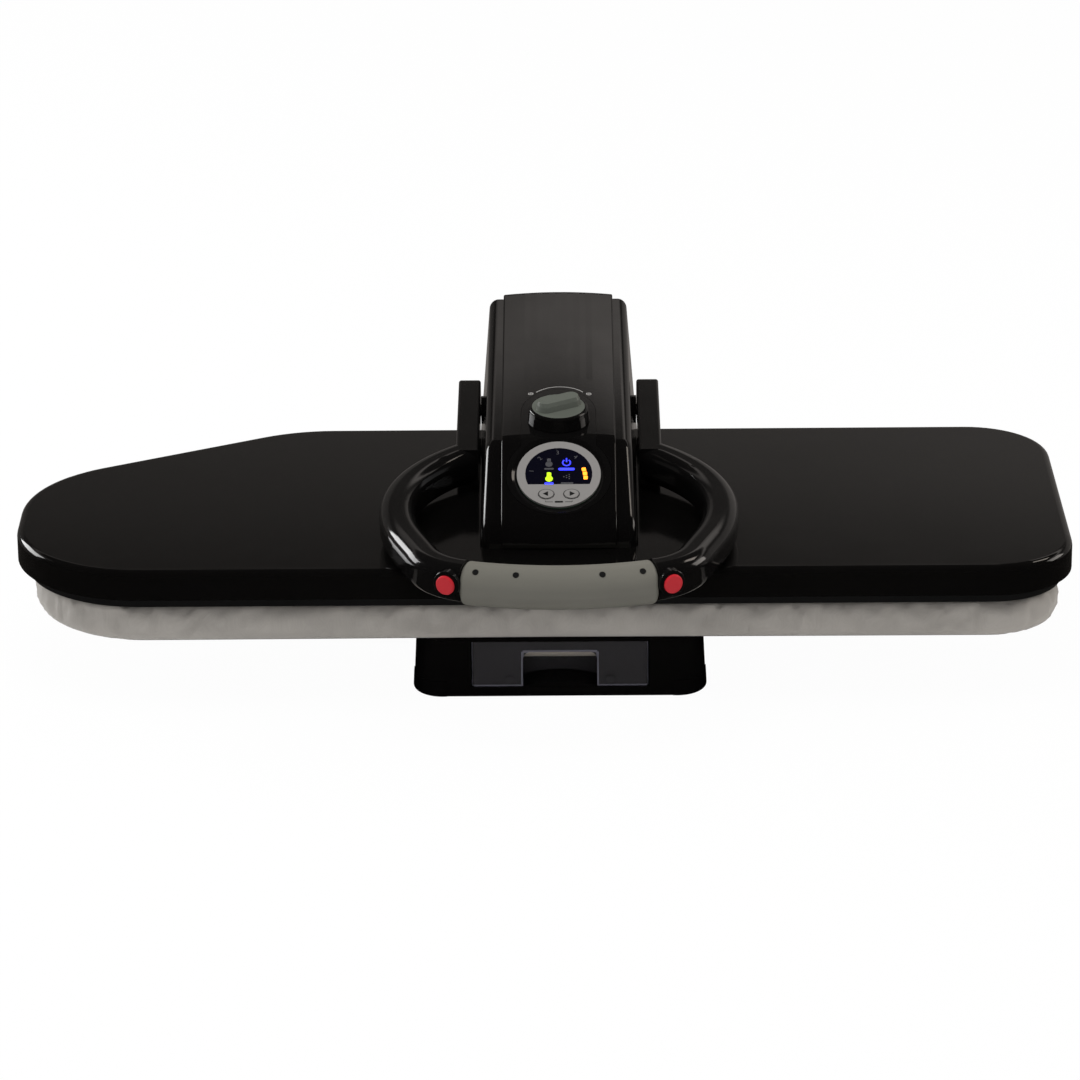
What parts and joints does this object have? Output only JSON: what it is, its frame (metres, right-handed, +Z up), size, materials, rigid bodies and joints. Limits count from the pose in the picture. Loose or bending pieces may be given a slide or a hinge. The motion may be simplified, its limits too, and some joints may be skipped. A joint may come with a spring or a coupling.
{
  "type": "steam ironing press",
  "caption": "Tabletop steam ironing press: padded board, hinged heated head with loop handle, control knob, round display and sliding water tank in the base.",
  "frame": {"origin": "on the table, under the middle of the whole press's bounding box", "axes": "+X along the pressing plate to the user's right, -Y towards the user, +Z up"},
  "size_m": [1.01, 0.582, 0.2658],
  "materials": {
    "gloss_black": "gloss plastic",
    "housing_black": "gloss plastic",
    "cover_black": "gloss plastic",
    "satin_black": "matte plastic",
    "plate_alu": "aluminium",
    "cast_alu": "aluminium",
    "shield_steel": "brushed steel",
    "zinc_steel": "brushed steel",
    "black_steel": "painted metal",
    "spring_steel": "brushed steel",
    "bronze_bush": "brass",
    "pad_fabric": "fabric",
    "foam": "fabric",
    "grip_grey": "rubber",
    "button_red": "gloss plastic",
    "face_grey": "matte plastic",
    "window_dark": "gloss plastic",
    "board_green": "matte plastic",
    "knob_grey": "matte plastic",
    "smoky_clear": "glass",
    "foot_rubber": "rubber",
    "valve_brass": "brass",
    "pump_white": "matte plastic"
  },
  "bodies": {
    "base": {"base_shell": "gloss_black", "base_floor": "zinc_steel", "rubber_feet": "foot_rubber", "base_screws": "zinc_steel", "column_shroud": "satin_black", "column_frame": "black_steel", "hinge_shaft": "zinc_steel", "lift_spring_left": "spring_steel", "lift_spring_right": "spring_steel", "spring_anchor_pin": "zinc_steel", "link_pins": "zinc_steel", "board_rails": "black_steel", "board_tray": "black_steel", "foam_pad": "foam", "pad_cover": "pad_fabric", "pump": "pump_white", "tank_dock": "satin_black", "cord_inlet": "foot_rubber"},
    "head": {"head_cover": "cover_black", "heat_plate": "plate_alu", "heat_plate_frame": "satin_black", "steam_chamber": "cast_alu", "heat_shield": "shield_steel", "plate_mounts": "zinc_steel", "arm_frame": "black_steel", "hinge_bushes": "bronze_bush", "spring_tail_pin": "zinc_steel", "arm_housing": "housing_black", "arm_top_panel": "housing_black", "control_bezel": "gloss_black", "display_face": "face_grey", "display_window": "window_dark", "display_board": "board_green", "knob_valve": "valve_brass"},
    "handle": {"handle_upper_shell": "gloss_black", "handle_lower_shell": "gloss_black", "grip_upper": "grip_grey", "grip_lower": "grip_grey", "grip_plugs": "satin_black", "button_bosses": "gloss_black", "handle_shaft": "zinc_steel", "handle_cranks": "black_steel"},
    "links": {"toggle_links": "zinc_steel"},
    "knob": {"knob_skirt": "gloss_black", "knob_insert": "knob_grey", "knob_shaft": "valve_brass"},
    "steam_button_left": {"steam_button_left": "button_red"},
    "steam_button_right": {"steam_button_right": "button_red"},
    "set_button_left": {"set_button_left": "face_grey"},
    "set_button_right": {"set_button_right": "face_grey"},
    "tank": {"tank_body": "smoky_clear", "tank_lid": "smoky_clear", "tank_cap": "satin_black", "tank_valve": "satin_black", "tank_latch_bumps": "smoky_clear"}
  },
  "joints": [
    {"name": "head_lift", "type": "hinge", "parent": "base", "child": "head", "pos_m": [0.016, 0.245, 0.128], "axis": [-1, 0, 0], "range_deg": [0, 50], "deforming": ["lift_spring_left", "lift_spring_right"]},
    {"name": "handle_lift", "type": "hinge", "parent": "head", "child": "handle", "pos_m": [0.016, 0.19, 0.172], "axis": [-1, 0, 0], "range_deg": [0, 20]},
    {"name": "link_swing", "type": "hinge", "parent": "base", "child": "links", "pos_m": [0.016, 0.255, 0.11], "axis": [-1, 0, 0], "range_deg": [0, 25]},
    {"name": "knob_turn", "type": "hinge", "parent": "head", "child": "knob", "pos_m": [0.016, -0.003, 0.2325], "axis": [0, -0.1184, 0.993], "range_deg": [0, 130]},
    {"name": "steam_button_left_press", "type": "slide", "parent": "handle", "child": "steam_button_left", "axis": [0.4305, 0.9023, 0.0236], "range_m": [0, 0.003], "stiffness_N_per_m": 400},
    {"name": "steam_button_right_press", "type": "slide", "parent": "handle", "child": "steam_button_right", "axis": [-0.4305, 0.9023, 0.0236], "range_m": [0, 0.003], "stiffness_N_per_m": 400},
    {"name": "set_button_left_press", "type": "slide", "parent": "head", "child": "set_button_left", "axis": [0, 0.5, -0.866], "range_m": [0, 0.0008], "stiffness_N_per_m": 400},
    {"name": "set_button_right_press", "type": "slide", "parent": "head", "child": "set_button_right", "axis": [0, 0.5, -0.866], "range_m": [0, 0.0008], "stiffness_N_per_m": 400},
    {"name": "tank_slide", "type": "slide", "parent": "base", "child": "tank", "axis": [0, -1, 0], "range_m": [0, 0.17]}
  ],
  "couplings": [
    {"joint": "handle_lift", "follows": "head_lift", "ratio": 0.4},
    {"joint": "link_swing", "follows": "head_lift", "ratio": 0.5}
  ]
}
